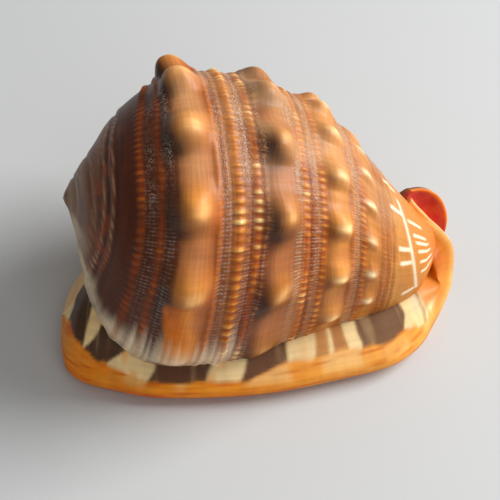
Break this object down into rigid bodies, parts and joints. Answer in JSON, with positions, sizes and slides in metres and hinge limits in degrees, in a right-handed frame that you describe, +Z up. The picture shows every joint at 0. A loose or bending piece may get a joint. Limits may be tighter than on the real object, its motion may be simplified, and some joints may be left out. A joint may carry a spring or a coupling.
{
  "type": "helmet shell",
  "caption": "Knobbed helmet shell lying on its aperture: short spire, rounded body whorl, thick rolled outer lip, toothed slit and a canal that curls up and back.",
  "frame": {"origin": "middle of the bounding box in X and Y, on the surface that the shell rests on", "axes": "+X from the spire to the siphonal canal, -Y towards the outer lip, +Z up through the back of the body whorl"},
  "size_m": [0.1258, 0.0916, 0.087],
  "materials": {
    "shell": "gloss"
  },
  "bodies": {
    "root": {"shell": "shell"}
  },
  "joints": []
}
